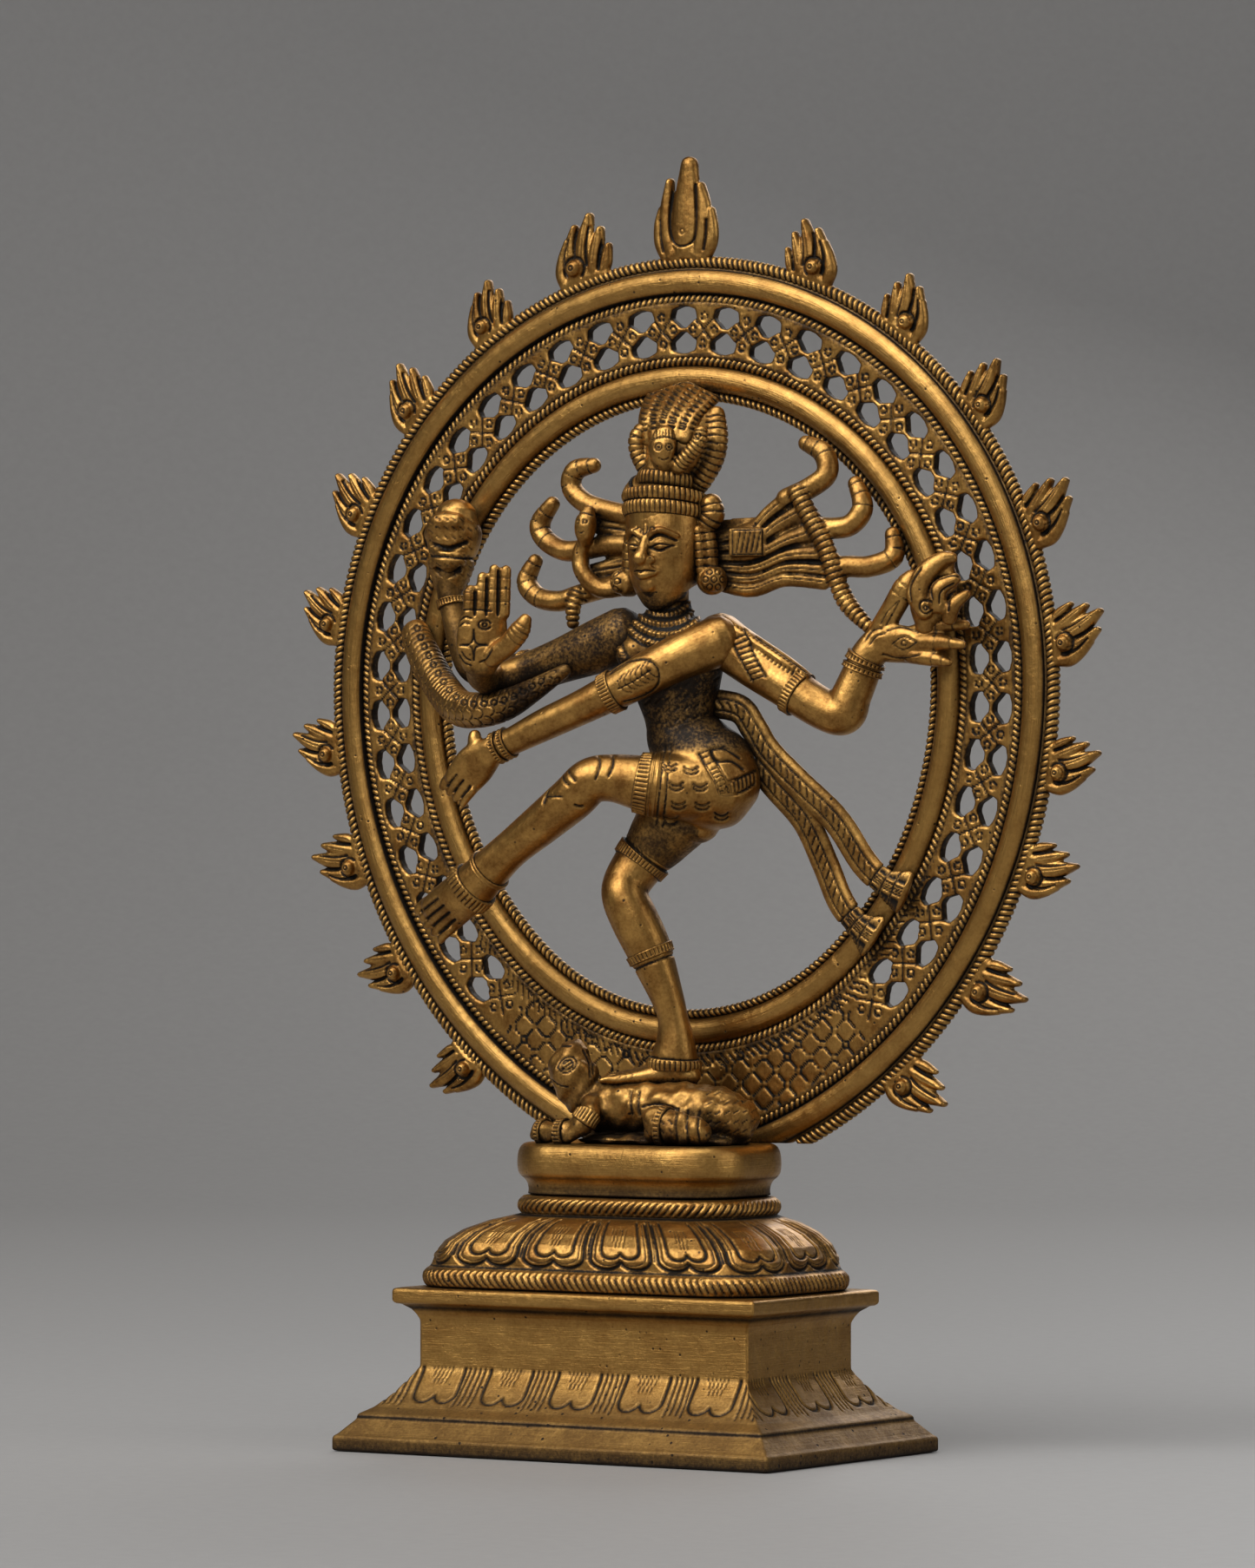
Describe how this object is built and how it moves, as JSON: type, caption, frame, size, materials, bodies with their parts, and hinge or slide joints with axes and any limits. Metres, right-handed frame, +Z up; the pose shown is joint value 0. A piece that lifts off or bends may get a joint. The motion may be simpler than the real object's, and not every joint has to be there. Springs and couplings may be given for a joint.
{
  "type": "brass nataraja statue",
  "caption": "Free-standing cast brass figure of a four-armed dancer inside a pierced, flame-edged aureole, standing on a lotus pedestal and a stepped hollow plinth; a table ornament.",
  "frame": {"origin": "middle of the underside of the plinth", "axes": "+Z up, the dancer faces -Y, +X to the right of someone facing it"},
  "size_m": [0.2258, 0.075, 0.303],
  "materials": {
    "brass": "cast, chased and brushed brass with dark patina in the recesses",
    "steel": "plain turned steel"
  },
  "bodies": {
    "root": {"plinth": "brass", "lotus_dome": "brass", "pedestal_drum": "brass", "tie_stud": "steel", "washer": "steel", "nut": "steel", "outer_rail": "brass", "inner_rail": "brass", "lattice_band": "brass", "flame_tongues": "brass", "crown_flame": "brass", "dwarf": "brass", "standing_leg": "brass", "raised_leg": "brass", "hips": "brass", "torso": "brass", "head": "brass", "headdress": "brass", "feather_fan": "brass", "ear_ornaments": "brass", "hair_right": "brass", "hair_left": "brass", "front_right_arm": "brass", "front_left_arm": "brass", "rear_right_arm": "brass", "rear_left_arm": "brass", "hand_drum": "brass", "hand_flame": "brass", "arm_snake": "brass", "sash_tails": "brass", "bangles": "brass"}
  },
  "joints": []
}
